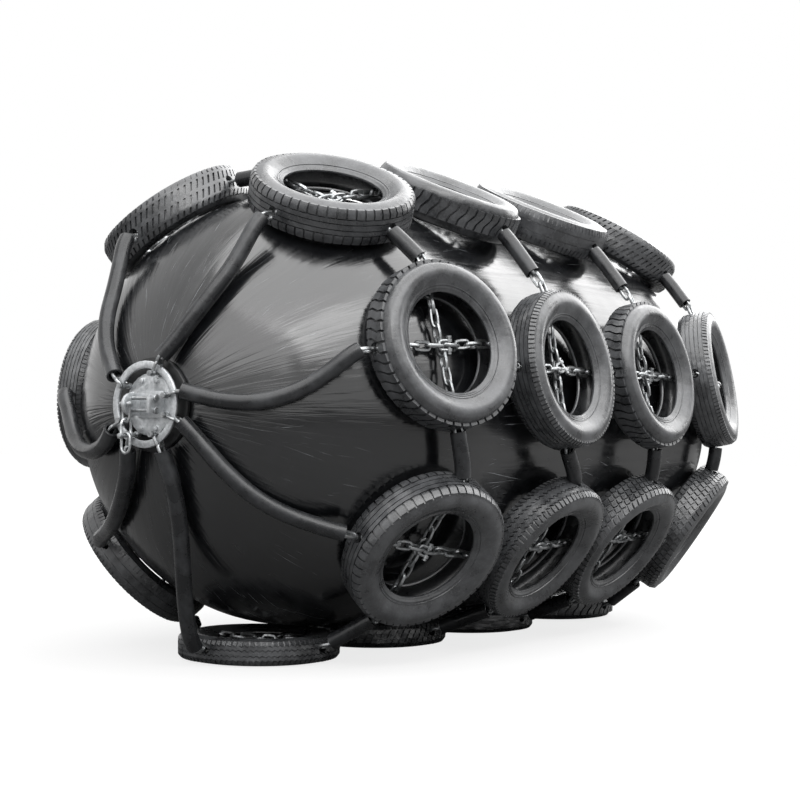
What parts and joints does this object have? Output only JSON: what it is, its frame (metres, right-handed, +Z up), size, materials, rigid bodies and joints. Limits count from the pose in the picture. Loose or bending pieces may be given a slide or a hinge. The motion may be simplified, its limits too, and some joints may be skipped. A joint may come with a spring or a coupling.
{
  "type": "pneumatic fender",
  "caption": "Pneumatic rubber ship fender: a domed air bag in a chain and tyre net, with net rings and a towing clevis at one end.",
  "frame": {"origin": "on the ground under the middle of the fender's box", "axes": "+X along the fender away from the towing end, +Z up"},
  "size_m": [4.14, 2.4176, 2.328],
  "materials": {
    "bag_rubber": "glossy scuffed black rubber",
    "tyre_rubber": "worn satin dark grey rubber",
    "galvanised_chain": "hot-dip galvanised, bright",
    "galvanised_plate": "hot-dip galvanised plate, dull",
    "galvanised_bolt": "galvanised forging, bright",
    "valve_brass": "dull brass"
  },
  "bodies": {
    "fender": {"rubber_body": "bag_rubber", "tyre_ring1_column1": "tyre_rubber", "tyre_ring1_column2": "tyre_rubber", "tyre_ring1_column3": "tyre_rubber", "tyre_ring1_column4": "tyre_rubber", "tyre_ring1_column5": "tyre_rubber", "tyre_ring1_column6": "tyre_rubber", "tyre_ring1_column7": "tyre_rubber", "tyre_ring2_column1": "tyre_rubber", "tyre_ring2_column2": "tyre_rubber", "tyre_ring2_column3": "tyre_rubber", "tyre_ring2_column4": "tyre_rubber", "tyre_ring2_column5": "tyre_rubber", "tyre_ring2_column6": "tyre_rubber", "tyre_ring2_column7": "tyre_rubber", "tyre_ring3_column1": "tyre_rubber", "tyre_ring3_column2": "tyre_rubber", "tyre_ring3_column3": "tyre_rubber", "tyre_ring3_column4": "tyre_rubber", "tyre_ring3_column5": "tyre_rubber", "tyre_ring3_column6": "tyre_rubber", "tyre_ring3_column7": "tyre_rubber", "tyre_ring4_column1": "tyre_rubber", "tyre_ring4_column2": "tyre_rubber", "tyre_ring4_column3": "tyre_rubber", "tyre_ring4_column4": "tyre_rubber", "tyre_ring4_column5": "tyre_rubber", "tyre_ring4_column6": "tyre_rubber", "tyre_ring4_column7": "tyre_rubber", "hoop_chain_1": "galvanised_chain", "hoop_chain_2": "galvanised_chain", "hoop_chain_3": "galvanised_chain", "hoop_chain_4": "galvanised_chain", "lengthwise_chain_1": "galvanised_chain", "lengthwise_chain_2": "galvanised_chain", "lengthwise_chain_3": "galvanised_chain", "lengthwise_chain_4": "galvanised_chain", "lengthwise_chain_5": "galvanised_chain", "lengthwise_chain_6": "galvanised_chain", "lengthwise_chain_7": "galvanised_chain", "front_flange": "galvanised_plate", "rear_flange": "galvanised_plate", "front_cover": "galvanised_plate", "rear_cover": "galvanised_plate", "front_net_ring": "galvanised_plate", "rear_net_ring": "galvanised_plate", "tow_clevis": "galvanised_plate", "air_valve": "galvanised_plate", "upper_cross_bolt": "galvanised_bolt", "lower_cross_bolt": "galvanised_bolt", "valve_cap": "valve_brass"},
    "tow_shackle": {"tow_shackle": "galvanised_bolt", "tow_shackle_pin": "galvanised_bolt"},
    "joining_shackle": {"joining_shackle": "galvanised_bolt", "joining_shackle_pin": "galvanised_bolt"},
    "end_link": {"end_link": "galvanised_bolt"}
  },
  "joints": [
    {"name": "tow_shackle_swing", "type": "hinge", "parent": "fender", "child": "tow_shackle", "pos_m": [-2.02923, 0.06074, 1.1203], "axis": [0, 1, 0], "range_deg": [-2, 100]},
    {"name": "joining_shackle_swing", "type": "hinge", "parent": "tow_shackle", "child": "joining_shackle", "pos_m": [-2.02923, 0.06074, 1.0483], "axis": [0, 1, 0], "range_deg": [-4, 60]},
    {"name": "end_link_swing", "type": "hinge", "parent": "joining_shackle", "child": "end_link", "pos_m": [-2.02923, 0.06074, 0.9887], "axis": [1, 0, 0], "range_deg": [-60, 60]}
  ]
}
